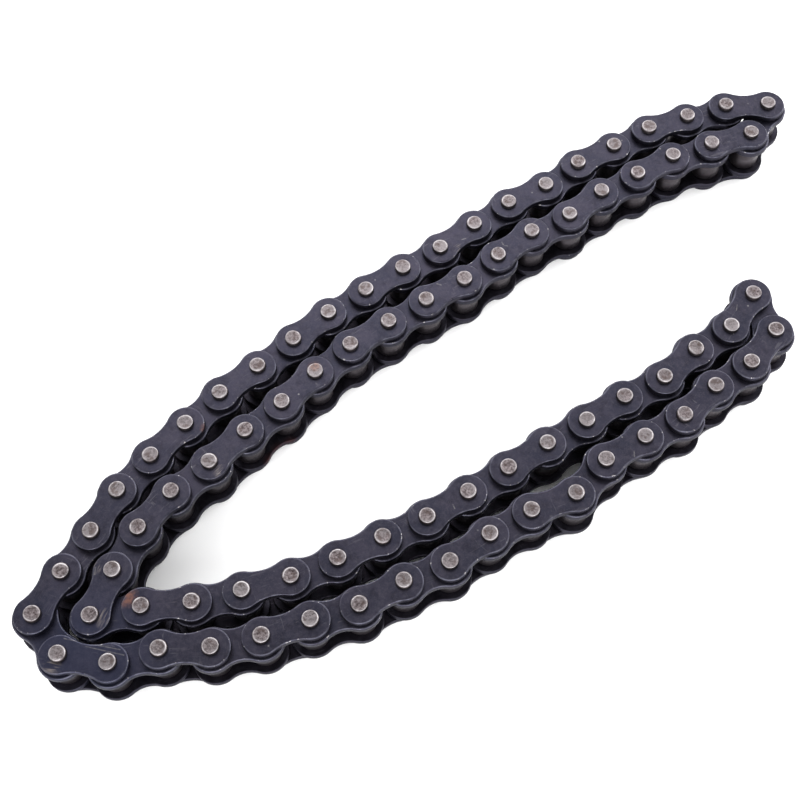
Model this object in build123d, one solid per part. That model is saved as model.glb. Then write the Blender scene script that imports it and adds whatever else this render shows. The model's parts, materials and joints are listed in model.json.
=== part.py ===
from build123d import *
from math import atan2, cos, degrees, radians, sin, sqrt
import os

# A 428-size roller chain, 76 links in one closed run, lying flat in four strands side by side.
# Millimetres. +Z is up, along the pins. The origin is on the surface that the lower pin ends
# stand on, under the centre of the box round the chain. +X is the longer way of the lay.

# Chain sizes (ISO 606, 1/2 inch pitch, heavy plates)
PITCH = 12.7
PIN_DIAMETER = 4.45
PIN_LENGTH = 18.6
PIN_CHAMFER = 0.3
PLATE_THICKNESS = 2.0
OUTER_PLATE_HEIGHT = 10.2
OUTER_PLATE_WAIST = 7.6
INNER_PLATE_HEIGHT = 11.8
INNER_PLATE_WAIST = 8.6
INNER_WIDTH = 7.94            # between the two inner plates
ROLLER_DIAMETER = 8.51
ROLLER_LENGTH = 7.6
BUSH_DIAMETER = 6.2
RUNNING_CLEARANCE = 0.05      # radial, pin in bush and bush in roller
PLATE_GAP = 0.13              # between an inner plate and the outer plate beside it
BUSH_PROUD = 0.05             # how far a bush stands out of its inner plates
PLATE_EDGE_BREAK = 0.25       # chamfer round the outside face of a plate

# Heights worked out from the sizes, from the floor at z = 0
MID_HEIGHT = PIN_LENGTH / 2
INNER_FACE = INNER_WIDTH / 2                        # inner plate's near face, from mid height
INNER_BACK = INNER_FACE + PLATE_THICKNESS
OUTER_FACE = INNER_BACK + PLATE_GAP
BUSH_LENGTH = 2 * (INNER_BACK + BUSH_PROUD)
BUSH_BORE = PIN_DIAMETER + 2 * RUNNING_CLEARANCE
ROLLER_BORE = BUSH_DIAMETER + 2 * RUNNING_CLEARANCE
STUB_LENGTH = MID_HEIGHT - OUTER_FACE               # pin end held in one outer plate

# The lay. Headings of the links in whole degrees, anticlockwise from +X, strand by strand,
# from the open pivot. The last two links are worked out, because they have to meet it.
OUTER_STRAND_UP = [
    61, 58, 62, 50, 46, 45, 38, 40, 40, 34,
    33, 31, 37, 35, 27, 37, 28, 29, 18, 17,
]
FOLD_TOP_RIGHT = [0, -122]
INNER_STRAND_DOWN = [
    -164, -162, -151, -152, -142, -154, -143, -142, -150, -148,
    -147, -140, -135, -140, -136, -140, -129, -117, -112,
]
CORNER_LEFT = [9]
INNER_STRAND_UP = [3, 12, 15, 20, 25, 24, 31, 31, 32, 30, 32, 26, 41, 33, 53]
FOLD_BOTTOM_RIGHT = [-70, -130]
OUTER_STRAND_DOWN = [
    -147, -138, -152, -150, -133, -160, -151, -146, -158, -153,
    -164, -163, -169, 180, -166,
]
HEADINGS = (
    OUTER_STRAND_UP + FOLD_TOP_RIGHT + INNER_STRAND_DOWN + CORNER_LEFT
    + INNER_STRAND_UP + FOLD_BOTTOM_RIGHT + OUTER_STRAND_DOWN
)
LINK_COUNT = len(HEADINGS) + 2

LOOSE_ROLLERS_LINK = LINK_COUNT   # the end link's two rollers are nodes of their own


def rigid_groups():
    """Links that turn as one body: the two inner strands, two by two, and the three links on
    each side of the corner link. Every other link is a body of its own."""
    first_down = len(OUTER_STRAND_UP + FOLD_TOP_RIGHT) + 1
    corner = first_down + len(INNER_STRAND_DOWN)
    last_up = corner + len(INNER_STRAND_UP)
    pairs_down = [(number, number + 1) for number in range(first_down, corner - 3, 2)]
    pairs_up = [(number, number + 1) for number in range(corner + 4, last_up, 2)]
    beside_corner = [tuple(range(corner - 3, corner)), tuple(range(corner + 1, corner + 4))]
    return pairs_down + beside_corner + pairs_up


def step(start, heading):
    """The point one pitch from start, at a heading in degrees."""
    angle = radians(heading)
    return (start[0] + PITCH * cos(angle), start[1] + PITCH * sin(angle))


def joining_point(start, end):
    """The point one pitch from both start and end, on the right of the line from start to end."""
    half_x = (end[0] - start[0]) / 2
    half_y = (end[1] - start[1]) / 2
    half = sqrt(half_x**2 + half_y**2)
    rise = sqrt(PITCH**2 - half**2) / half
    return (start[0] + half_x + rise * half_y, start[1] + half_y - rise * half_x)


def lay_pins():
    """Pin centres in order, pin 1 at the open pivot, with the lay's box centred on the origin."""
    pins = [(0.0, 0.0)]
    for heading in HEADINGS:
        pins.append(step(pins[-1], heading))
    pins.append(joining_point(pins[0], pins[-1]))
    middle_x = (min(x for x, y in pins) + max(x for x, y in pins)) / 2
    middle_y = (min(y for x, y in pins) + max(y for x, y in pins)) / 2
    return [(x - middle_x, y - middle_y) for x, y in pins]


PINS = lay_pins()


def link_ends(number):
    """The two pin centres of a link. Link n runs from pin n to the next one."""
    return PINS[number - 1], PINS[number % LINK_COUNT]


def link_heading(number):
    start, end = link_ends(number)
    return degrees(atan2(end[1] - start[1], end[0] - start[0]))


def is_outer(number):
    return number % 2 == 1


def tube(diameter, bore, length):
    """A tube standing on the origin's plane, centred at mid height."""
    ring = Circle(diameter / 2) - Circle(bore / 2)
    return Pos(0, 0, MID_HEIGHT - length / 2) * extrude(ring, length)


def plate_outline(height, waist):
    """A figure-eight plate's edge: two round ends joined by waists that meet them smoothly."""
    end_radius = height / 2
    half_waist = waist / 2
    half_pitch = PITCH / 2
    waist_radius = (half_pitch**2 + half_waist**2 - end_radius**2) / (2 * (end_radius - half_waist))
    waist_centre = half_waist + waist_radius
    share = end_radius / (end_radius + waist_radius)
    meet_x = half_pitch * share
    meet_y = waist_centre * share
    left_top = (meet_x, meet_y)
    left_bottom = (meet_x, -meet_y)
    right_top = (PITCH - meet_x, meet_y)
    right_bottom = (PITCH - meet_x, -meet_y)
    edge = [
        ThreePointArc(left_top, (-end_radius, 0), left_bottom),
        ThreePointArc(left_bottom, (half_pitch, -half_waist), right_bottom),
        ThreePointArc(right_bottom, (PITCH + end_radius, 0), right_top),
        ThreePointArc(right_top, (half_pitch, half_waist), left_top),
    ]
    return make_face(edge)


def plate(height, waist, hole, base, outside_up):
    """One plate, its lower face at height base, with the edge broken on its outside face."""
    blank = plate_outline(height, waist)
    for x in (0, PITCH):
        blank -= Pos(x, 0) * Circle(hole / 2)
    solid = extrude(blank, PLATE_THICKNESS)
    face = solid.faces().sort_by(Axis.Z)[-1 if outside_up else 0]
    solid = chamfer(face.outer_wire().edges(), PLATE_EDGE_BREAK)
    return Pos(0, 0, base) * solid


def outer_plates():
    """The lower and the upper plate of an outer link."""
    size = (OUTER_PLATE_HEIGHT, OUTER_PLATE_WAIST, PIN_DIAMETER)
    return [
        plate(*size, MID_HEIGHT - OUTER_FACE - PLATE_THICKNESS, outside_up=False),
        plate(*size, MID_HEIGHT + OUTER_FACE, outside_up=True),
    ]


def inner_plates():
    """The lower and the upper plate of an inner link."""
    size = (INNER_PLATE_HEIGHT, INNER_PLATE_WAIST, BUSH_DIAMETER)
    return [
        plate(*size, MID_HEIGHT - INNER_BACK, outside_up=False),
        plate(*size, MID_HEIGHT + INNER_FACE, outside_up=True),
    ]


def pin(x):
    """A whole riveted pin with both ends chamfered, at x along the link."""
    body = extrude(Circle(PIN_DIAMETER / 2), PIN_LENGTH)
    body = chamfer(body.edges().filter_by(GeomType.CIRCLE), PIN_CHAMFER)
    return [Pos(x, 0, 0) * body]


def pin_stubs(x):
    """The two ends of a pin whose middle is left out, each held in its own outer plate."""
    body = extrude(Circle(PIN_DIAMETER / 2), STUB_LENGTH)
    lower = chamfer(body.edges().filter_by(GeomType.CIRCLE).sort_by(Axis.Z)[0], PIN_CHAMFER)
    upper = Pos(0, 0, PIN_LENGTH) * Rot(180, 0, 0) * lower
    return [Pos(x, 0, 0) * lower, Pos(x, 0, 0) * upper]


def bush(x):
    return Pos(x, 0, 0) * tube(BUSH_DIAMETER, BUSH_BORE, BUSH_LENGTH)


def roller(x):
    return Pos(x, 0, 0) * tube(ROLLER_DIAMETER, ROLLER_BORE, ROLLER_LENGTH)


def outer_link(number):
    """Two outer plates and the two pins riveted through them."""
    first_pin = pin_stubs(0) if number == 1 else pin(0)
    return outer_plates() + first_pin + pin(PITCH)


def inner_link(number):
    """Two inner plates, the two bushes pressed into them, and the rollers round the bushes."""
    pieces = inner_plates() + [bush(0), bush(PITCH)]
    if number != LOOSE_ROLLERS_LINK:
        pieces += [roller(0), roller(PITCH)]
    return pieces


def in_place(number, pieces):
    """A link's pieces, made along +X from the origin, moved to where the link lies."""
    start, end = link_ends(number)
    place = Pos(start[0], start[1], 0) * Rot(0, 0, link_heading(number))
    return [place * piece for piece in pieces]


def link_pieces(number):
    make = outer_link if is_outer(number) else inner_link
    return in_place(number, make(number))


def link_groups():
    """Every body's links, in order along the chain."""
    groups = rigid_groups()
    grouped = {number for group in groups for number in group}
    single = [(number,) for number in range(1, LINK_COUNT + 1) if number not in grouped]
    return sorted(single + groups)


def group_name(group):
    if len(group) > 1:
        return f"links_{group[0]:02d}_to_{group[-1]:02d}"
    kind = "outer" if is_outer(group[0]) else "inner"
    return f"{kind}_link_{group[0]:02d}"


def make_nodes():
    """Every node's solids, by name."""
    nodes = {}
    for group in link_groups():
        nodes[group_name(group)] = [piece for number in group for piece in link_pieces(number)]
    for letter, x in (("a", 0), ("b", PITCH)):
        nodes[f"roller_{LOOSE_ROLLERS_LINK}_{letter}"] = in_place(LOOSE_ROLLERS_LINK, [roller(x)])
    return nodes


def main():
    os.makedirs("parts", exist_ok=True)
    for name, pieces in make_nodes().items():
        solids = [solid for piece in pieces for solid in piece.solids()]
        export_step(Compound(children=solids), f"parts/{name}.step")


if __name__ == "__main__":
    main()
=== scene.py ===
import bpy
import bmesh
import json
import math
import random
from mathutils import Matrix, Vector


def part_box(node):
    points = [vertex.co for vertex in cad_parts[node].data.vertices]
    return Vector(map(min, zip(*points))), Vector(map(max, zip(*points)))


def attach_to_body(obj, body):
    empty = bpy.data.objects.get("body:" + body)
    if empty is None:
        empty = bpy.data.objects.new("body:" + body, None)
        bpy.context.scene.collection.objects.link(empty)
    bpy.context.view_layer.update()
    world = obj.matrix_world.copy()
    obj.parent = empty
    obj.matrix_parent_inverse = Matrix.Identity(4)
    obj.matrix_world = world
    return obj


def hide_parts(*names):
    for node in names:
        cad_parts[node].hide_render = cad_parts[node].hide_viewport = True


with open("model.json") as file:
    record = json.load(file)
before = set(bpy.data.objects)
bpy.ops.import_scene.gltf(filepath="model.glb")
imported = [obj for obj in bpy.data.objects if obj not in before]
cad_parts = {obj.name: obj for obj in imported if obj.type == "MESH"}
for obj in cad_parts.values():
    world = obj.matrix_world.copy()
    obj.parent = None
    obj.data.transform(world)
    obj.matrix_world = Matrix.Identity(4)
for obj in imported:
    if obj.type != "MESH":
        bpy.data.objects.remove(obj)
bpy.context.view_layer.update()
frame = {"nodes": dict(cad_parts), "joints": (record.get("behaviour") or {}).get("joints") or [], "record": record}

# Chain sizes, in metres. Heights are from the floor, and along runs from pin to pin.
MM = 0.001
PITCH = 12.7 * MM
PIN_RADIUS = 2.225 * MM
PIN_LENGTH = 18.6 * MM
PLATE_THICKNESS = 2.0 * MM
INNER_WIDTH = 7.94 * MM
PLATE_GAP = 0.13 * MM
BUSH_PROUD = 0.05 * MM
BUSH_BORE = 2.275 * MM
BUSH_RADIUS = 3.1 * MM
ROLLER_RADIUS = 4.255 * MM
ROLLER_BORE = 3.15 * MM
ROLLER_LENGTH = 7.6 * MM
ROLLER_EDGE = 0.35 * MM                      # how far the edges are rounded
ROLLER_BORE_EDGE = 0.15 * MM
BUSH_EDGE = 0.12 * MM
BUSH_BORE_EDGE = 0.1 * MM
MID_HEIGHT = PIN_LENGTH / 2
INNER_FACE = INNER_WIDTH / 2                 # heights from mid height
INNER_BACK = INNER_FACE + PLATE_THICKNESS
OUTER_FACE = INNER_BACK + PLATE_GAP
OUTER_BACK = OUTER_FACE + PLATE_THICKNESS

# Plates: half the height over a round end, and half the height at the waist
OUTER_PLATE = {"end": 5.1 * MM, "waist": 3.8 * MM, "hole": PIN_RADIUS}
INNER_PLATE = {"end": 5.9 * MM, "waist": 4.3 * MM, "hole": BUSH_RADIUS}

# How finely the round shapes are divided
END_STEPS = 30
WAIST_STEPS = 10                             # even, so that a point falls on the middle
MIDDLE_STEPS = 6
PIN_STEPS = 40
ROLLER_STEPS = 56
BUSH_STEPS = 36

LEVEL = 0.01 * MM                            # points closer in height than this are level
CHAIN_SEED = 428
MARK_SHIFT = 0.05                            # between the marks of one link and the next


# Reading the lay of the chain from the frame

def link_numbers(node):
    """The link numbers in a node's name: one, or the first and the last of a group."""
    return [int(word) for word in node.split("_") if word.isdigit()]


def nodes_by_link():
    """Which node holds each link."""
    found = {}
    for node in frame["nodes"]:
        if "link" in node:
            numbers = link_numbers(node)
            for number in range(numbers[0], numbers[-1] + 1):
                found[number] = node
    return found


def bodies_by_node():
    """Which body each node is in."""
    bodies = frame["record"]["behaviour"]["bodies"]
    return {node: body for body, nodes in bodies.items() for node in nodes}


def pin_tops(node):
    """The centre of every pin end on a node's top, from the frame's mesh."""
    piece = frame["nodes"][node]
    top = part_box(node)[1][2]
    groups = []
    for vertex in piece.data.vertices:
        place = piece.matrix_world @ vertex.co
        if top - place.z > LEVEL:
            continue
        for group in groups:
            if (group[0] - place).length < 2 * PIN_RADIUS:
                group.append(place)
                break
        else:
            groups.append([place])
    return [middle_of(group) for group in groups]


def middle_of(points):
    """The middle of the points' box, on the floor."""
    x = (min(p.x for p in points) + max(p.x for p in points)) / 2
    y = (min(p.y for p in points) + max(p.y for p in points)) / 2
    return Vector((x, y, 0))


def lay_of_pins(node_of_link):
    """Pin centres in order, walked from the open pivot one pitch at a time."""
    tops = {node: pin_tops(node) for number, node in node_of_link.items() if number % 2}
    pivot = next(j for j in frame["joints"] if j["name"] == "pivot_02")["pos_m"]
    second = Vector((pivot[0], pivot[1], 0))
    first = max(tops[node_of_link[1]], key=lambda place: (place - second).length)
    pins = [first, second]
    for number in range(3, len(node_of_link) + 1):
        # Pins are on outer links, which are odd, and the pin before last is a pitch away too.
        link = number - 1 if number % 2 == 0 else number
        near = [p for p in tops[node_of_link[link]] if (p - pins[-2]).length > MM]
        pins.append(min(near, key=lambda place: abs((place - pins[-1]).length - PITCH)))
    return pins


NODE_OF_LINK = nodes_by_link()
BODY_OF_NODE = bodies_by_node()
PINS = lay_of_pins(NODE_OF_LINK)
LINK_COUNT = len(NODE_OF_LINK)


def link_place(number):
    """Where a link lies: its own frame has pin n at the origin and the next pin along +X."""
    start = PINS[number - 1]
    end = PINS[number % LINK_COUNT]
    along = end - start
    turn = Matrix.Rotation(math.atan2(along.y, along.x), 4, "Z")
    return Matrix.Translation(start) @ turn


# Mesh building. A shell collects points, faces and how worn each point is, or how far painted
# shade darkens it. Points are in the link's own frame until the shell is put in its place, and
# each keeps its own-frame place.

class Shell:
    def __init__(self):
        self.points = []
        self.own = []
        self.wear_and_shade = []
        self.faces = []
        self.smooth = []

    def ring(self, flat_points, height, wear_and_shade=0.0):
        """Adds a ring of points at one height and returns their numbers."""
        first = len(self.points)
        self.points += [(x, y, height) for x, y in flat_points]
        self.own += [(x, y, height) for x, y in flat_points]
        self.wear_and_shade += [wear_and_shade] * len(flat_points)
        return list(range(first, len(self.points)))

    def face(self, corners, smooth=True):
        self.faces.append(corners)
        self.smooth.append(smooth)

    def band(self, ring_a, ring_b, smooth=True):
        """Joins two rings of equal count with four-sided faces."""
        count = len(ring_a)
        for i in range(count):
            j = (i + 1) % count
            self.face((ring_a[i], ring_a[j], ring_b[j], ring_b[i]), smooth)

    def add(self, other, place=Matrix.Identity(4), shift=0.0):
        """Copies another shell into this one, moved by a matrix. A shift raises the own-frame
        places, so that no two links show the same marks."""
        first = len(self.points)
        self.points += [tuple(place @ Vector(point)) for point in other.points]
        self.own += [(x, y, z + shift) for x, y, z in other.own]
        self.wear_and_shade += other.wear_and_shade
        self.faces += [tuple(first + corner for corner in face) for face in other.faces]
        self.smooth += other.smooth


def make_piece(name, shell, material):
    """A mesh object from a shell. Its own-frame places and its wear and painted shade stay on its points."""
    mesh = bpy.data.meshes.new(name)
    mesh.from_pydata(shell.points, [], shell.faces)
    mesh.polygons.foreach_set("use_smooth", shell.smooth)
    wear_and_shade = mesh.attributes.new("wear_and_shade", "FLOAT", "POINT")
    wear_and_shade.data.foreach_set("value", shell.wear_and_shade)
    own = mesh.attributes.new("own_place", "FLOAT_VECTOR", "POINT")
    own.data.foreach_set("vector", [number for place in shell.own for number in place])
    builder = bmesh.new()
    builder.from_mesh(mesh)
    bmesh.ops.recalc_face_normals(builder, faces=builder.faces)
    builder.to_mesh(mesh)
    builder.free()
    mesh.materials.append(material)
    piece = bpy.data.objects.new(name, mesh)
    bpy.context.scene.collection.objects.link(piece)
    return piece


def circle(radius, count, x=0.0):
    """Points round a circle about (x, 0)."""
    step = 2 * math.pi / count
    return [(x + radius * math.cos(i * step), radius * math.sin(i * step)) for i in range(count)]


def arc(centre, radius, start, end, steps):
    """Points along an arc, without its last one."""
    turn = (end - start) / steps
    angles = [start + turn * i for i in range(steps)]
    return [(centre[0] + radius * math.cos(a), centre[1] + radius * math.sin(a)) for a in angles]


def plate_edge(size, inset):
    """A figure-eight plate's outline, moved inwards by inset. It starts where the left end's
    arc meets the upper waist, and runs anticlockwise."""
    end = size["end"]
    waist = size["waist"]
    half = PITCH / 2
    bend = (half**2 + waist**2 - end**2) / (2 * (end - waist))
    meet = math.atan2(waist + bend, half)
    end -= inset
    bend += inset
    high = size["waist"] + bend - inset
    left = arc((0, 0), end, meet, 2 * math.pi - meet, END_STEPS)
    low_waist = arc((half, -high), bend, math.pi - meet, meet, WAIST_STEPS)
    right = arc((PITCH, 0), end, meet - math.pi, math.pi - meet, END_STEPS)
    high_waist = arc((half, high), bend, -meet, meet - math.pi, WAIST_STEPS)
    return left + low_waist + right + high_waist


def plate_face(shell, edge, height, hole):
    """Closes a plate's flat face between its outer edge and its two holes. The face is halved
    along the middle of the waist, and each hole has one point for each point round its half."""
    low_middle = END_STEPS + WAIST_STEPS // 2
    high_middle = 2 * END_STEPS + WAIST_STEPS + WAIST_STEPS // 2
    low = shell.points[edge[low_middle]]
    high = shell.points[edge[high_middle]]
    share = [i / MIDDLE_STEPS for i in range(1, MIDDLE_STEPS)]
    line = shell.ring([(low[0], low[1] + (high[1] - low[1]) * s) for s in share], height)
    left = edge[high_middle:] + edge[: low_middle + 1] + line
    right = edge[low_middle : high_middle + 1] + line[::-1]
    holes = []
    for x, border in ((0.0, left), (PITCH, right)):
        angles = [math.atan2(shell.points[i][1], shell.points[i][0] - x) for i in border]
        rim = [(x + hole * math.cos(a), hole * math.sin(a)) for a in angles]
        ring = shell.ring(rim, height)
        shell.band(border, ring, smooth=False)
        holes.append((x, angles, ring))
    return holes


# The edge of a punched plate, from the face the punch entered to the face it left: how far
# each row lies inside the outline, how far below its face, and how worn it is.
PUNCHED_EDGE = [(0.50, 0.0, 0.0), (0.36, 0.010, 0.75), (0.20, 0.06, 1.0), (0.08, 0.16, 1.0),
                (0.015, 0.32, 0.45), (0.0, 0.50, 0.05)]
BROKEN_EDGE = [(0.0, 0.20, 0.05), (0.04, 0.06, 0.4), (0.14, 0.0, 0.4)]
HOLE_BREAK = 0.06 * MM


def plate_shell(size, base, outside_up):
    """One plate with rolled edges and two holes, its lower face at height base."""
    shell = Shell()
    top = base + PLATE_THICKNESS
    if outside_up:
        rows = [(inset, top - drop * MM, wear_and_shade) for inset, drop, wear_and_shade in PUNCHED_EDGE]
        rows += [(inset, base + drop * MM, wear_and_shade) for inset, drop, wear_and_shade in BROKEN_EDGE]
    else:
        rows = [(inset, top - drop * MM, wear_and_shade) for inset, drop, wear_and_shade in BROKEN_EDGE[::-1]]
        rows += [(inset, base + drop * MM, wear_and_shade) for inset, drop, wear_and_shade in PUNCHED_EDGE[::-1]]
    rings = [shell.ring(plate_edge(size, inset * MM), z, wear_and_shade) for inset, z, wear_and_shade in rows]
    for upper, lower in zip(rings, rings[1:]):
        shell.band(upper, lower)
    rim = size["hole"] + HOLE_BREAK
    upper_holes = plate_face(shell, rings[0], top, rim)
    lower_holes = plate_face(shell, rings[-1], base, rim)
    for (x, angles, upper), (_, _, lower) in zip(upper_holes, lower_holes):
        wall = [(x + size["hole"] * math.cos(a), size["hole"] * math.sin(a)) for a in angles]
        high = shell.ring(wall, top - HOLE_BREAK)
        low = shell.ring(wall, base + HOLE_BREAK)
        shell.band(upper, high)
        shell.band(high, low)
        shell.band(low, lower)
    return shell


def plate_pair(size, inner_height, outer_height):
    """The lower and the upper plate of a link, each with its rolled edge outwards."""
    pair = Shell()
    lower = plate_shell(size, MID_HEIGHT - outer_height, outside_up=False)
    upper = plate_shell(size, MID_HEIGHT + inner_height, outside_up=True)
    pair.add(lower)
    pair.add(upper)
    return pair


def tube(profile, count, x):
    """A turned tube from (radius, height, wear) rows that go round its wall."""
    shell = Shell()
    rings = [shell.ring(circle(radius, count, x), z, wear_and_shade) for radius, z, wear_and_shade in profile]
    for one, other in zip(rings, rings[1:] + rings[:1]):
        shell.band(one, other)
    return shell


# A rivet end's rows: up to 1, a share of its flat face, and from 1 to 2, the way across its rim.
# Then the depth, in dips of the face or in widths of the rim. Last, how it is worn or shaded: 1 is
# rubbed bright, 0 is the plain end, and -1 is painted shade that darkens the pin's side above the plate.
RIVET_ROWS = [(0.30, 1.0, 0.0), (0.62, 0.8, 0.0), (0.88, 0.3, 0.12), (1.0, 0.0, 0.7),
              (1.25, 0.10, 1.0), (1.5, 0.30, 0.6), (1.75, 0.60, -0.5), (2.0, 1.15, -1.0)]


def rivet_end(shell, x, tip, inwards, chance):
    """Adds the rings of one riveted pin end, from its middle out to the pin's full side.
    Inwards is +1 at the lower end and -1 at the upper. The hammered rim is uneven: its width
    swells and narrows round the pin, and no two ends are alike."""
    rim = chance.uniform(0.26, 0.40) * MM
    dip = chance.uniform(0.02, 0.07) * MM
    swell = chance.uniform(0.15, 0.60)
    flat = chance.uniform(0.05, 0.30)
    heavy_side = chance.uniform(0, 2 * math.pi)
    flat_side = chance.uniform(0, 2 * math.pi)
    rings = []
    for share, depth, wear_and_shade in RIVET_ROWS:
        points = []
        for i in range(PIN_STEPS):
            turn = 2 * math.pi * i / PIN_STEPS
            uneven = 1 + swell * math.cos(turn - heavy_side) + flat * math.cos(2 * turn - flat_side)
            face = PIN_RADIUS - rim * uneven
            radius = face * share if share <= 1 else face + (share - 1) * (PIN_RADIUS - face)
            points.append((x + radius * math.cos(turn), radius * math.sin(turn)))
        height = tip + inwards * (depth * rim if share >= 1 else depth * dip)
        rings.append(shell.ring(points, height, wear_and_shade))
    shell.face(tuple(rings[0]), smooth=False)
    for inner, outer in zip(rings, rings[1:]):
        shell.band(inner, outer)
    return rings[-1]


def pin_shell(x, chance, whole=True):
    """A riveted pin, or at the open pivot its two ends, each held in one outer plate."""
    pin = Shell()
    lower = rivet_end(pin, x, 0.0, 1, chance)
    upper = rivet_end(pin, x, PIN_LENGTH, -1, chance)
    if whole:
        pin.band(lower, upper)
        return pin
    side = circle(PIN_RADIUS, PIN_STEPS, x)
    for end, height in ((lower, MID_HEIGHT - OUTER_FACE), (upper, MID_HEIGHT + OUTER_FACE)):
        cut = pin.ring(side, height)
        pin.band(end, cut)
        pin.face(tuple(cut), smooth=False)
    return pin


def tube_profile(radius, bore, length, outer_break, inner_break):
    """A tube centred at mid height, with broken edges, going up outside and down inside. Each
    row is a radius, a height and how worn it is."""
    low = MID_HEIGHT - length / 2
    high = MID_HEIGHT + length / 2
    soft = 0.3                               # where the middle of a rounded edge lies
    return [
        (bore + inner_break, low, 0.2),
        (radius - outer_break, low, 0.6),
        (radius - soft * outer_break, low + soft * outer_break, 0.9),
        (radius, low + outer_break, 0.1),
        (radius, MID_HEIGHT, 0.0),
        (radius, high - outer_break, 0.1),
        (radius - soft * outer_break, high - soft * outer_break, 0.9),
        (radius - outer_break, high, 0.6),
        (bore + inner_break, high, 0.2),
        (bore, high - inner_break, 0.0),
        (bore, low + inner_break, 0.0),
    ]


def roller_shell(x):
    size = (ROLLER_RADIUS, ROLLER_BORE, ROLLER_LENGTH, ROLLER_EDGE, ROLLER_BORE_EDGE)
    return tube(tube_profile(*size), ROLLER_STEPS, x)


def bush_shell(x):
    length = 2 * (INNER_BACK + BUSH_PROUD)
    size = (BUSH_RADIUS, BUSH_BORE, length, BUSH_EDGE, BUSH_BORE_EDGE)
    return tube(tube_profile(*size), BUSH_STEPS, x)


# Materials

class Nodes:
    """A short way to write a material's node tree."""

    def __init__(self, name):
        self.material = bpy.data.materials.new(name)
        self.material.use_nodes = True
        self.tree = self.material.node_tree
        self.shader = self.tree.nodes["Principled BSDF"]
        self.place = self.make("ShaderNodeTexCoord").outputs["Object"]
        self.own = self.make("ShaderNodeAttribute", attribute_name="own_place").outputs["Vector"]
        self.wear_and_shade = self.make("ShaderNodeAttribute", attribute_name="wear_and_shade").outputs["Fac"]

    def make(self, kind, **settings):
        node = self.tree.nodes.new(kind)
        for setting, value in settings.items():
            setattr(node, setting, value)
        return node

    def join(self, output, socket):
        """Links an output to a socket, or sets the socket where a plain value is given."""
        if hasattr(output, "is_output"):
            self.tree.links.new(output, socket)
        else:
            socket.default_value = output

    def noise(self, scale, detail=4.0, roughness=0.55, warp=0.0, stretch=None, turn=0.0):
        """Noise about 1 / scale metres across. Stretched noise follows the link's own frame,
        turned by some degrees, and plain noise runs on from link to link."""
        noise = self.make("ShaderNodeTexNoise")
        if stretch is None:
            self.join(self.place, noise.inputs["Vector"])
        else:
            mapping = self.make("ShaderNodeMapping")
            self.join(self.own, mapping.inputs["Vector"])
            mapping.inputs["Rotation"].default_value = (0, 0, math.radians(turn))
            mapping.inputs["Scale"].default_value = stretch
            self.join(mapping.outputs["Vector"], noise.inputs["Vector"])
        noise.inputs["Scale"].default_value = scale
        noise.inputs["Detail"].default_value = detail
        noise.inputs["Roughness"].default_value = roughness
        noise.inputs["Distortion"].default_value = warp
        return noise.outputs["Fac"]

    def specks(self, scale, size, share):
        """Round specks: size is in cells, and share is how many of the cells have one."""
        cells = self.make("ShaderNodeTexVoronoi")
        self.join(self.place, cells.inputs["Vector"])
        cells.inputs["Scale"].default_value = scale
        near = self.ramp(cells.outputs["Distance"], 0.5 * size, size, 1.0, 0.0)
        kept = self.ramp(cells.outputs["Color"], 0.98 - share, 1.0 - share)
        return self.math("MULTIPLY", near, kept)

    def ramp(self, value, low, high, start=0.0, end=1.0):
        """Maps low..high to start..end, held at both ends."""
        node = self.make("ShaderNodeMapRange", clamp=True)
        self.join(value, node.inputs["Value"])
        node.inputs["From Min"].default_value = low
        node.inputs["From Max"].default_value = high
        node.inputs["To Min"].default_value = start
        node.inputs["To Max"].default_value = end
        return node.outputs["Result"]

    def math(self, operation, a, b):
        node = self.make("ShaderNodeMath", operation=operation)
        self.join(a, node.inputs[0])
        self.join(b, node.inputs[1])
        return node.outputs["Value"]

    def mix(self, share, colour_a, colour_b):
        """Mixes two colours. The node's colour sockets are 6 and 7 going in and 2 coming out."""
        node = self.make("ShaderNodeMix", data_type="RGBA")
        self.join(share, node.inputs["Factor"])
        self.join(colour_a, node.inputs[6])
        self.join(colour_b, node.inputs[7])
        return node.outputs[2]

    def near(self, spots):
        """1 at the middle of any of some spots, given as centre and radius, fading to 0."""
        total = 0.0
        for centre, radius in spots:
            away = self.vector("DISTANCE", self.place, centre)
            spot = self.ramp(away, 0.35 * radius, radius, 1.0, 0.0)
            total = self.math("MAXIMUM", total, spot)
        return total

    def scratches(self, marks):
        """1 along some straight scratches and 0 away from them."""
        total = 0.0
        for number, along, across, end_along, end_across in marks:
            start = on_plate(number, along, across)
            run = on_plate(number, end_along, end_across) - start
            away = self.vector("SUBTRACT", self.place, start)
            share = self.math("DIVIDE", self.vector("DOT_PRODUCT", away, run), run.length**2)
            share = self.ramp(share, 0.0, 1.0)
            offset = self.vector("DISTANCE", away, self.scaled(run, share))
            line = self.ramp(offset, 0.4 * SCRATCH_WIDTH, SCRATCH_WIDTH, 1.0, 0.0)
            total = self.math("MAXIMUM", total, line)
        return total

    def vector(self, operation, a, b):
        node = self.make("ShaderNodeVectorMath", operation=operation)
        self.join(a, node.inputs[0])
        self.join(b, node.inputs[1])
        return node.outputs["Value" if operation in ("DISTANCE", "DOT_PRODUCT") else "Vector"]

    def scaled(self, direction, share):
        node = self.make("ShaderNodeVectorMath", operation="SCALE")
        node.inputs[0].default_value = direction
        self.join(share, node.inputs["Scale"])
        return node.outputs["Vector"]

    def upward(self, direction):
        """The upward part of a direction or a place."""
        split = self.make("ShaderNodeSeparateXYZ")
        self.join(direction, split.inputs["Vector"])
        return split.outputs["Z"]

    def facing_up(self):
        """1 on a level face that looks up, 0 on an upright one and -1 on one that looks down."""
        return self.upward(self.make("ShaderNodeNewGeometry").outputs["Normal"])

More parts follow.
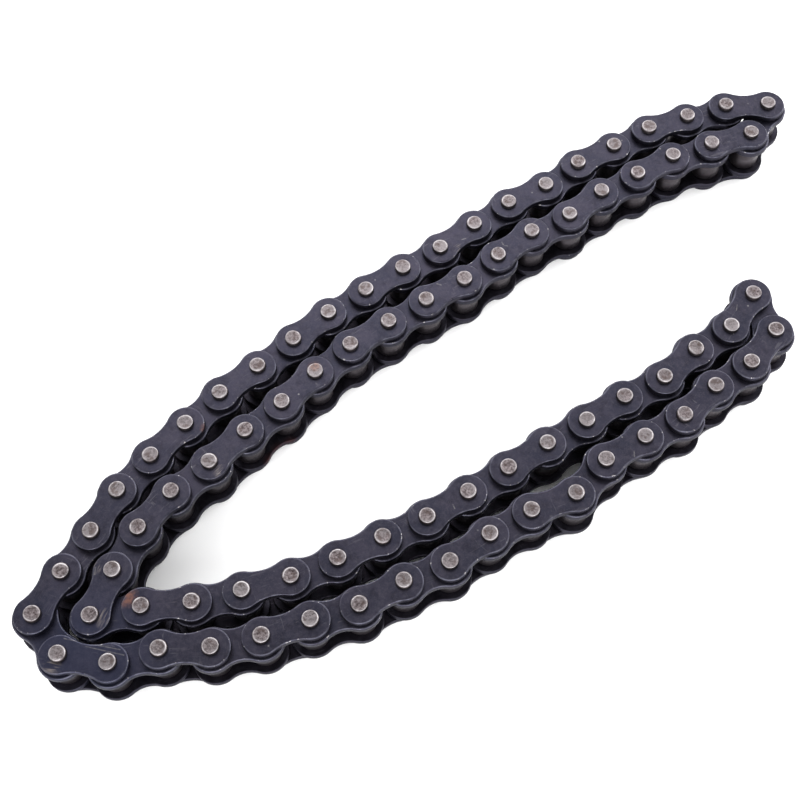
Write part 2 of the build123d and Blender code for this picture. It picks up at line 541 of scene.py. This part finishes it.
    def inside(self):
        """1 on faces turned towards the chain's middle height, where painted shade goes, and 0 on the others."""
        height = self.math("SUBTRACT", self.upward(self.place), MID_HEIGHT)
        turned_out = self.math("MULTIPLY", self.facing_up(), height)
        return self.ramp(turned_out, -3 * MM, -1 * MM, 1.0, 0.0)

    def bump(self, height, strength, distance):
        node = self.make("ShaderNodeBump")
        self.join(height, node.inputs["Height"])
        node.inputs["Strength"].default_value = strength
        node.inputs["Distance"].default_value = distance
        self.join(node.outputs["Normal"], self.shader.inputs["Normal"])

    def finish(self, colour, roughness, metallic, specular=0.5):
        self.join(colour, self.shader.inputs["Base Color"])
        self.join(roughness, self.shader.inputs["Roughness"])
        self.join(metallic, self.shader.inputs["Metallic"])
        self.shader.inputs["Specular IOR Level"].default_value = specular
        return self.material


def rgba(red, green, blue):
    return (red, green, blue, 1.0)


# Marks on the plates, each by its link, how far along the link and across it, all in
# millimetres. Stains, spots and patches then have a radius, and scratches their other end.
RUST_STAINS = [(43, -3.3, 2.5, 3.2), (5, 15.3, -4.9, 1.7), (35, -0.8, -0.9, 2.3)]
RUBBED_SPOTS = [(41, 12.2, 4.3, 3.2), (41, 1.2, -4.6, 2.0), (75, 13.5, 3.2, 2.8),
                (37, 12.6, 4.2, 2.2), (37, 4.4, 4.4, 1.6), (13, 4.0, -3.7, 2.0)]
SCRATCHES = [(75, 12.3, -4.1, -2.1, -3.6), (75, 6.4, -3.0, -3.4, -2.4), (41, 0.9, -4.4, 2.7, -3.7),
             (29, 9.0, -2.7, 9.2, -1.7), (29, 9.1, -1.3, 8.6, -0.7), (63, 5.0, 1.9, 5.9, 3.3),
             (49, 7.4, -0.8, 7.2, -2.0), (31, 7.3, -2.9, 6.5, -1.9), (57, 5.3, 1.2, 7.0, 1.9),
             (13, 6.6, -1.8, 7.6, -2.2), (37, 13.0, 4.6, 13.7, 4.0)]
SCRATCH_WIDTH = 0.2 * MM
BLUED_PATCHES = [(75, 6.0, 0.0, 24.0)]
BROWNED_EDGES = [(36, 3.4, 6.4, 3.0), (36, 6.8, 5.6, 3.0), (36, 10.2, 6.4, 3.0)]   # lower plate


def on_plate(number, along, across, height=MID_HEIGHT + OUTER_BACK):
    """Where a mark on a link lies in the lay: on top of its upper outer plate, unless a height
    is given."""
    return link_place(number) @ Vector((along * MM, across * MM, height))


def on_plates(spots, height=MID_HEIGHT + OUTER_BACK):
    """The centre and the radius of each of some marks."""
    return [(on_plate(number, along, across, height), radius * MM)
            for number, along, across, radius in spots]


def plate_patina(n, grime):
    """The blackening: clouded, grimy and grainy, and bluish in a patch; then painted shade, near black, on the
    faces between the plates.
    """
    clouds = n.ramp(n.noise(110, detail=3), 0.36, 0.64)
    base = n.mix(clouds, rgba(0.020, 0.020, 0.031), rgba(0.029, 0.027, 0.040))
    base = n.mix(n.ramp(grime, 0.45, 0.70, 0.0, 0.5), base, rgba(0.047, 0.043, 0.056))
    dark = n.ramp(n.noise(380, detail=5, roughness=0.65), 0.50, 0.66, 0.0, 0.6)
    base = n.mix(dark, base, rgba(0.015, 0.014, 0.021))
    grain = n.ramp(n.noise(3200, detail=2, roughness=0.7), 0.52, 0.70, 0.0, 0.3)
    base = n.mix(grain, base, rgba(0.056, 0.052, 0.064))
    blued = n.math("MULTIPLY", n.near(on_plates(BLUED_PATCHES)), 0.4)
    base = n.mix(blued, base, rgba(0.020, 0.024, 0.050))
    # Painted shade: faces turned towards the chain's middle, between the plates, are darkened towards near black.
    return n.mix(n.math("MULTIPLY", n.inside(), 0.7), base, rgba(0.008, 0.006, 0.008))


def fine_scratches(n):
    """1 along fine scratches that run three ways, in patches, and 0 away from them."""
    lines = n.noise(1500, detail=2, stretch=(0.10, 1.0, 1.0), turn=3, warp=0.9)
    cross = n.noise(1300, detail=2, stretch=(1.0, 0.16, 1.0), turn=24, warp=1.2)
    slant = n.noise(1400, detail=2, stretch=(0.14, 1.0, 1.0), turn=-38, warp=1.1)
    fine = n.math("MAXIMUM", n.ramp(lines, 0.64, 0.71), n.ramp(cross, 0.66, 0.73))
    fine = n.math("MAXIMUM", fine, n.ramp(slant, 0.68, 0.74))
    return n.math("MULTIPLY", fine, n.ramp(n.noise(95, detail=2), 0.42, 0.60))


def scratched(n, base, fine):
    """Adds the fine scratches, the larger ones in their places, and bright specks."""
    base = n.mix(n.math("MULTIPLY", fine, 0.3), base, rgba(0.11, 0.105, 0.12))
    broken = n.ramp(n.noise(1100, detail=3), 0.35, 0.65, 0.12, 0.42)
    base = n.mix(n.math("MULTIPLY", n.scratches(SCRATCHES), broken), base, rgba(0.20, 0.19, 0.19))
    specks = n.math("MULTIPLY", n.specks(560, 0.18, 0.1), 0.45)
    return n.mix(specks, base, rgba(0.24, 0.23, 0.23))


def worn(n, base):
    """Adds edges rubbed and chipped bright, and rubbed spots on the level faces."""
    rubbed = n.math("MULTIPLY", n.wear_and_shade, n.ramp(n.noise(420, detail=4), 0.36, 0.64, 0.1, 1.0))
    base = n.mix(n.math("MULTIPLY", rubbed, 0.55), base, rgba(0.10, 0.10, 0.128))
    chips = n.ramp(n.noise(1200, detail=2), 0.65, 0.71)
    chips = n.math("MULTIPLY", n.ramp(n.wear_and_shade, 0.5, 0.9), chips)
    base = n.mix(chips, base, rgba(0.30, 0.285, 0.29))
    streaks = n.noise(1300, detail=3, stretch=(0.14, 1.0, 1.0), warp=0.4)
    scuffs = n.math("MULTIPLY", n.near(on_plates(RUBBED_SPOTS)), n.ramp(streaks, 0.50, 0.66))
    scuffs = n.math("MULTIPLY", scuffs, n.ramp(n.facing_up(), 0.3, 0.8))
    return n.mix(n.math("MULTIPLY", scuffs, 0.85), base, rgba(0.19, 0.165, 0.155))


def plate_rust(n):
    """How thickly rust covers a place, from 0 to 1."""
    blotches = n.ramp(n.noise(520, detail=5, roughness=0.7), 0.38, 0.60)
    return n.math("MULTIPLY", n.near(on_plates(RUST_STAINS)), blotches)


def plate_material():
    """Blackened steel: dark blue-grey, clouded, finely scratched, with bright worn edges."""
    n = Nodes("blackened_steel")
    grime = n.noise(900, detail=5, roughness=0.65)
    fine = fine_scratches(n)
    rust = plate_rust(n)
    base = worn(n, scratched(n, plate_patina(n, grime), fine))
    base = n.mix(n.math("MULTIPLY", rust, 0.65), base, rgba(0.135, 0.052, 0.029))
    browned = n.near(on_plates(BROWNED_EDGES, MID_HEIGHT - INNER_FACE))
    base = n.mix(n.math("MULTIPLY", browned, 0.8), base, rgba(0.045, 0.018, 0.018))
    rough = n.ramp(grime, 0.3, 0.8, 0.36, 0.50)
    rough = n.math("ADD", rough, n.math("MULTIPLY", rust, 0.25))
    n.bump(n.math("ADD", grime, n.math("MULTIPLY", fine, -0.6)), 0.25, 0.03 * MM)
    n.shader.inputs["Specular Tint"].default_value = rgba(0.65, 0.65, 0.65)
    return n.finish(base, rough, n.ramp(rust, 0.0, 1.0, 0.95, 0.4))


def pin_material():
    """Pin steel: a greyish-brown matt end with darker pits, a bright rim, and painted shade darkening its side."""
    n = Nodes("pin_end_steel")
    mottle = n.noise(1500, detail=5, roughness=0.7)
    base = n.mix(n.ramp(mottle, 0.40, 0.60), rgba(0.046, 0.035, 0.036), rgba(0.166, 0.142, 0.147))
    tone = n.noise(130, detail=1)
    base = n.mix(n.ramp(tone, 0.38, 0.62, 0.0, 0.7), base, rgba(0.150, 0.136, 0.142))
    smears = n.ramp(n.noise(620, detail=3), 0.52, 0.62, 0.0, 0.75)
    base = n.mix(smears, base, rgba(0.060, 0.044, 0.042))
    pits = n.ramp(n.noise(2600, detail=3), 0.58, 0.68)
    base = n.mix(n.math("MULTIPLY", pits, 0.7), base, rgba(0.030, 0.022, 0.020))
    rust = n.math("MULTIPLY", n.near(on_plates(RUST_STAINS)), n.ramp(mottle, 0.35, 0.6))
    base = n.mix(n.math("MULTIPLY", rust, 0.8), base, rgba(0.19, 0.080, 0.047))
    bright = n.ramp(n.noise(500, detail=3), 0.36, 0.58, 0.2, 1.0)
    base = n.mix(n.math("MULTIPLY", n.wear_and_shade, bright), base, rgba(0.37, 0.35, 0.36))
    # Painted shade: the pin's side, where it stands above the plate, is darkened towards near black.
    side = n.ramp(n.wear_and_shade, -1.0, -0.2, 1.0, 0.0)
    base = n.mix(side, base, rgba(0.040, 0.034, 0.037))
    rough = n.ramp(mottle, 0.3, 0.7, 0.34, 0.55)
    dents = n.noise(450, detail=2)
    n.bump(n.math("ADD", n.math("MULTIPLY", mottle, 0.3), dents), 0.7, 0.3 * MM)
    return n.finish(base, rough, 0.95)


def roller_material():
    """Roller steel: satin, with fine rings round it."""
    n = Nodes("roller_steel")
    rings = n.noise(500, detail=3, stretch=(0.15, 0.15, 6.0))
    clouds = n.noise(260, detail=3)
    base = n.mix(n.ramp(rings, 0.35, 0.65), rgba(0.048, 0.041, 0.047), rgba(0.078, 0.069, 0.077))
    base = n.mix(n.ramp(clouds, 0.45, 0.7, 0.0, 0.6), base, rgba(0.038, 0.033, 0.037))
    rough = n.ramp(clouds, 0.3, 0.7, 0.36, 0.48)
    n.bump(rings, 0.12, 0.02 * MM)
    return n.finish(base, rough, 1.0)


def bush_material():
    """Bush steel: darker than the pins and slightly oily."""
    n = Nodes("bush_steel")
    clouds = n.noise(600, detail=4)
    base = n.mix(n.ramp(clouds, 0.35, 0.7), rgba(0.055, 0.051, 0.053), rgba(0.094, 0.090, 0.094))
    rough = n.ramp(clouds, 0.3, 0.7, 0.25, 0.40)
    n.bump(clouds, 0.1, 0.02 * MM)
    return n.finish(base, rough, 0.95)


def floor_material():
    """A pale floor, plain, with hardly any unevenness."""
    n = Nodes("pale_floor")
    tone = n.noise(3, detail=2)
    base = n.mix(n.ramp(tone, 0.3, 0.7), rgba(0.93, 0.93, 0.93), rgba(0.95, 0.95, 0.95))
    return n.finish(base, 0.8, 0.0, 0.2)


MATERIALS = {
    "plate_steel": plate_material(),
    "pin_steel": pin_material(),
    "roller_steel": roller_material(),
    "bush_steel": bush_material(),
}


# The chain's pieces

OUTER_PLATES = plate_pair(OUTER_PLATE, OUTER_FACE, OUTER_BACK)
INNER_PLATES = plate_pair(INNER_PLATE, INNER_FACE, INNER_BACK)


def attach(piece, node):
    """A piece rides its node's body and stands for the node, whose own part is hidden."""
    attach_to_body(piece, BODY_OF_NODE[node])
    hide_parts(node)


def link_piece(name, shells, number, slot, node=None):
    """Makes one named piece of a link from shells in the link's own frame."""
    whole = Shell()
    for shell in shells:
        whole.add(shell, link_place(number), number * MARK_SHIFT)
    piece = make_piece(f"{name}_{number:02d}", whole, MATERIALS[slot])
    attach(piece, node or NODE_OF_LINK[number])


def make_outer_link(number, chance):
    link_piece("outer_plates", [OUTER_PLATES], number, "plate_steel")
    pins = [pin_shell(0.0, chance, whole=number != 1), pin_shell(PITCH, chance)]
    link_piece("pins", pins, number, "pin_steel")


def make_inner_link(number):
    link_piece("inner_plates", [INNER_PLATES], number, "plate_steel")
    link_piece("bushes", [bush_shell(0.0), bush_shell(PITCH)], number, "bush_steel")
    if number == LINK_COUNT:
        for letter, x in (("a", 0.0), ("b", PITCH)):
            node = f"roller_{number}_{letter}"
            link_piece(f"roller_{letter}", [roller_shell(x)], number, "roller_steel", node)
    else:
        link_piece("rollers", [roller_shell(0.0), roller_shell(PITCH)], number, "roller_steel")


def make_chain():
    """Every link in order, because the rivet ends share one run of random draws."""
    chance = random.Random(CHAIN_SEED)
    for number in range(1, LINK_COUNT + 1):
        if number % 2:
            make_outer_link(number, chance)
        else:
            make_inner_link(number)


# The stage: floor, light and camera

FLOOR_SIZE = 6.0
TENT_BRIGHTNESS = 2.2
# The tent's grey by height in the direction looked, from the horizon at 0 to overhead at 1
TENT_GREYS = [(0.0, 0.5), (0.25, 1.0), (0.65, 1.0), (0.9, 0.25), (1.0, 0.2)]
# Each soft light's name, place, size and brightness
SOFT_BOXES = [("soft_box_back", (-0.15, 1.15, 1.2), 1.2, 3.8),
              ("soft_box_front", (0.1, -1.8, 0.95), 2.0, 3.6),
              ("soft_box_right", (1.56, 0.85, 0.75), 1.4, 4.0)]
CAMERA_PLACE = (-10.4 * MM, -179.6 * MM, 335.6 * MM)
CAMERA_TILT = 27.56
CAMERA_ROLL = -1.90
CAMERA_LENS = 60.0
SENSOR_WIDTH = 36.0


def make_floor():
    """A square floor under the lower pin ends."""
    half = FLOOR_SIZE / 2
    corners = [(-half, -half, 0), (half, -half, 0), (half, half, 0), (-half, half, 0)]
    mesh = bpy.data.meshes.new("floor")
    mesh.from_pydata(corners, [], [(0, 1, 2, 3)])
    mesh.materials.append(floor_material())
    floor = bpy.data.objects.new("floor", mesh)
    bpy.context.scene.collection.objects.link(floor)


def make_soft_box(name, place, size, brightness):
    """A square soft light that faces the middle of the chain."""
    light = bpy.data.lights.new(name, "AREA")
    light.shape = "SQUARE"
    light.size = size
    light.energy = brightness * math.pi * size**2
    lamp = bpy.data.objects.new(name, light)
    lamp.location = place
    lamp.rotation_euler = (-Vector(place)).to_track_quat("-Z", "Y").to_euler()
    bpy.context.scene.collection.objects.link(lamp)


def make_sky(brightness):
    """A white tent, brightest half way up and dark overhead, where the camera looks in."""
    world = bpy.data.worlds.new("tent")
    world.use_nodes = True
    nodes = world.node_tree.nodes
    links = world.node_tree.links
    direction = nodes.new("ShaderNodeTexCoord").outputs["Generated"]
    split = nodes.new("ShaderNodeSeparateXYZ")
    links.new(direction, split.inputs["Vector"])
    tone = nodes.new("ShaderNodeValToRGB")
    stops = tone.color_ramp.elements
    for height, _ in TENT_GREYS[1:-1]:
        stops.new(height)
    for stop, (_, grey) in zip(stops, TENT_GREYS):
        stop.color = rgba(grey, grey, grey)
    links.new(split.outputs["Z"], tone.inputs["Fac"])
    links.new(tone.outputs["Color"], nodes["Background"].inputs["Color"])
    nodes["Background"].inputs["Strength"].default_value = brightness
    bpy.context.scene.world = world


def make_light():
    make_sky(TENT_BRIGHTNESS)
    for name, place, size, brightness in SOFT_BOXES:
        make_soft_box(name, place, size, brightness)


def make_camera():
    """A camera in front of the chain and above it, rolled a little."""
    camera = bpy.data.cameras.new("camera")
    camera.lens = CAMERA_LENS
    camera.sensor_width = SENSOR_WIDTH
    camera.clip_start = 0.01
    holder = bpy.data.objects.new("camera", camera)
    tilt = Matrix.Rotation(math.radians(CAMERA_TILT), 4, "X")
    roll = Matrix.Rotation(math.radians(CAMERA_ROLL), 4, "Z")
    holder.matrix_world = Matrix.Translation(CAMERA_PLACE) @ tilt @ roll
    bpy.context.scene.collection.objects.link(holder)
    bpy.context.scene.camera = holder
    bpy.context.scene.view_settings.view_transform = "Standard"


make_chain()
make_floor()
make_light()
make_camera()
